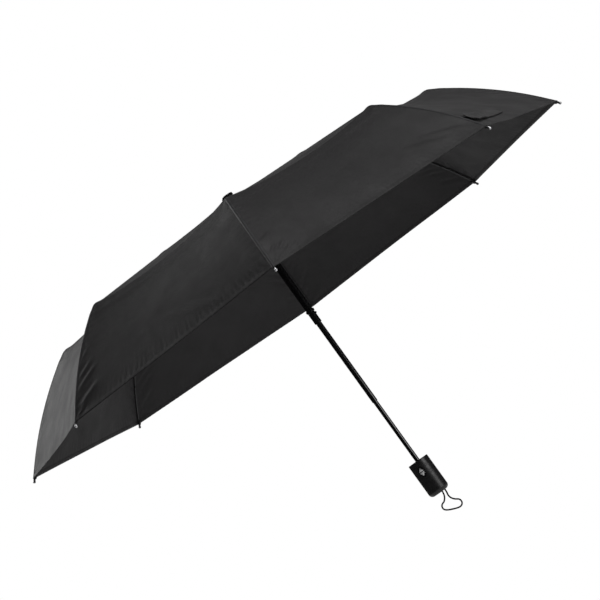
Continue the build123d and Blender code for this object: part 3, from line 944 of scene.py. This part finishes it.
def fastener():
    """The round fastener tape past the strap's middle: a raised disc whose rim lies on the strap."""
    points, uvs = [], []
    for i in range(FASTENER_RINGS):
        share = i / (FASTENER_RINGS - 1)
        reach = 0.0001 + FASTENER_R * share
        for j in range(FASTENER_AROUND):
            c = 2 * math.pi * j / FASTENER_AROUND
            x, y = reach * math.cos(c), reach * math.sin(c)
            spot = (FASTENER_AT[0] + x / FASTENER_UV_L, FASTENER_AT[1] + y / FASTENER_UV_W)
            raised = 0.0006 if share < 0.9 else 0.0001
            points.append((*spot, float(strap_lift(*spot)) + STRAP_THICK + raised))
            uvs.append((x, y))
    a, w, lift = np.array(points).T
    faces = ring_faces(FASTENER_RINGS, FASTENER_AROUND)
    return mesh_object("tie_fastener", strap_point(a, w, lift), faces, TAPE, uvs=uvs)


for o in (strap(), fastener()):
    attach(o, f"outer_rib_{STRAP_RIB}")
    gather(o)
    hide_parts("tie_strap")

# ---- wrist cord ----------------------------------------------------------------------------------------
CORD_R, CORD_Y = 1.2 * MM, -3 * MM
ROUTE = [                                         # x and z in mm
    (3.2, -18.5), (3.2, -27.0), (-2.7, -35.7), (-8.9, -37.0), (-11.5, -41.8), (-9.6, -47.1), (0.9, -52.3),
    (12.0, -56.2), (17.6, -52.6), (17.7, -45.9), (11.4, -41.8), (7.6, -36.7), (6.5, -30.9), (8.0, -26.4),
    (8.0, -18.6),
]


def nurbs(name, points, radius, m):
    """A round cord along a smooth line whose ends are its first and last point."""
    c = bpy.data.curves.new(name, "CURVE")
    c.dimensions = "3D"
    c.bevel_depth = radius
    c.bevel_resolution = 4
    c.resolution_u = 12
    sp = c.splines.new("NURBS")
    sp.points.add(len(points) - 1)
    for p, q in zip(sp.points, points):
        p.co = (*q, 1)
    sp.order_u = 3
    sp.use_endpoint_u = True
    c.materials.append(m)
    o = bpy.data.objects.new(name, c)
    bpy.context.scene.collection.objects.link(o)
    return o


cord = nurbs("wrist_cord_loop", [(x * MM, CORD_Y, z * MM) for x, z in ROUTE], CORD_R, CORD)
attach(cord, "handle")
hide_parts("wrist_cord")

# ---- floor and light -----------------------------------------------------------------------------------
FLOOR_Z, FLOOR_HALF = -0.9, 5
FLOOR_GLOW = 0.10                             # keeps the far floor pale
ROOM_STRENGTH = 0.03                          # a dim studio all round

corners = [(x * FLOOR_HALF, y * FLOOR_HALF, FLOOR_Z) for x, y in ((-1, -1), (1, -1), (1, 1), (-1, 1))]
floor = mesh_object("floor", corners, [(0, 1, 2, 3)], material("floor_white", (0.95, 0.95, 0.95), 0.9))
floor_shader = floor.data.materials[0].node_tree.nodes["Principled BSDF"]
floor_shader.inputs["Emission Color"].default_value = (1, 1, 1, 1)
floor_shader.inputs["Emission Strength"].default_value = FLOOR_GLOW


def studio_world():
    """White behind the object, and a dim even light from all round it."""
    world = bpy.data.worlds.new("studio")
    world.use_nodes = True
    nodes, links = world.node_tree.nodes, world.node_tree.links
    backdrop = nodes["Background"]                       # what the camera sees behind the object
    room = nodes.new("ShaderNodeBackground")             # what lights it
    for shader, strength in ((backdrop, 1.0), (room, ROOM_STRENGTH)):
        shader.inputs["Color"].default_value = (1, 1, 1, 1)
        shader.inputs["Strength"].default_value = strength
    path = nodes.new("ShaderNodeLightPath")
    choose = nodes.new("ShaderNodeMixShader")
    links.new(path.outputs["Is Camera Ray"], choose.inputs[0])
    links.new(room.outputs[0], choose.inputs[1])
    links.new(backdrop.outputs[0], choose.inputs[2])
    links.new(choose.outputs[0], nodes["World Output"].inputs["Surface"])
    return world


bpy.context.scene.world = studio_world()


def area_light(name, at, target, size, watts):
    """A soft rectangular light that the camera does not see."""
    d = bpy.data.lights.new(name, "AREA")
    d.shape = "RECTANGLE"
    d.size, d.size_y = size
    d.energy = watts
    o = bpy.data.objects.new(name, d)
    bpy.context.scene.collection.objects.link(o)
    o.location = at
    o.rotation_euler = (Vector(target) - Vector(at)).to_track_quat("-Z", "Y").to_euler()
    o.visible_camera = False


LIGHTS = (                                    # name, place, what it faces, size in metres, watts
    ("top", (1.2, -0.9, 3.0), (0, 0, 0.4), (2.2, 2.2), 54),
    ("back_left", (-2.4, 2.0, 2.7), (-0.2, 0, 0.4), (2.2, 2.2), 43),
    ("back", (0.2, 3.3, 2.0), (0, 0, 0.4), (2.2, 2.2), 4),
    ("right_back", (2.4, 2.2, 2.0), (0, 0, 0.4), (2.0, 2.0), 6),
    ("strip_right", (2.0, -1.5, 0.0), (0, 0, 0.1), (1.4, 0.5), 13),
    ("floor_light", (0, 0, -0.35), (0, 0, -1), (5.0, 5.0), 3),
)
for light in LIGHTS:
    area_light(*light)

# ---- camera --------------------------------------------------------------------------------------------
CAMERA_LENS, CAMERA_SENSOR, CAMERA_FAR = 135.73, 36.0, 200
CAMERA_RISE = math.radians(4.51)              # it looks up this much
CAMERA_SWEEP = math.radians(0.583)            # and this far round from +Y
CAMERA_ROLL = math.radians(-35.741)
CAMERA_DISTANCE = 3.3679
CAMERA_AIM = Vector((0, 0, 0.331655))
CAMERA_SHIFT_RIGHT, CAMERA_SHIFT_UP = 0.00254, 0.00047


def photo_camera():
    """A long lens from a little below, rolled so that the shaft leans."""
    data = bpy.data.cameras.new("camera")
    data.lens = CAMERA_LENS
    data.sensor_width = CAMERA_SENSOR
    data.clip_end = CAMERA_FAR
    camera = bpy.data.objects.new("camera", data)
    bpy.context.scene.collection.objects.link(camera)
    level = Vector((-math.sin(CAMERA_SWEEP), math.cos(CAMERA_SWEEP), 0))
    look = level * math.cos(CAMERA_RISE) + Vector((0, 0, math.sin(CAMERA_RISE)))
    right = look.cross(Vector((0, 0, 1))).normalized()
    upward = right.cross(look)
    x = right * math.cos(CAMERA_ROLL) + upward * math.sin(CAMERA_ROLL)
    y = upward * math.cos(CAMERA_ROLL) - right * math.sin(CAMERA_ROLL)
    camera.matrix_world = Matrix((x, y, -look)).transposed().to_4x4()
    shift = right * CAMERA_SHIFT_RIGHT + upward * CAMERA_SHIFT_UP
    camera.location = CAMERA_AIM - shift - look * CAMERA_DISTANCE
    return camera


bpy.context.scene.view_settings.view_transform = "Standard"
bpy.context.scene.camera = photo_camera()
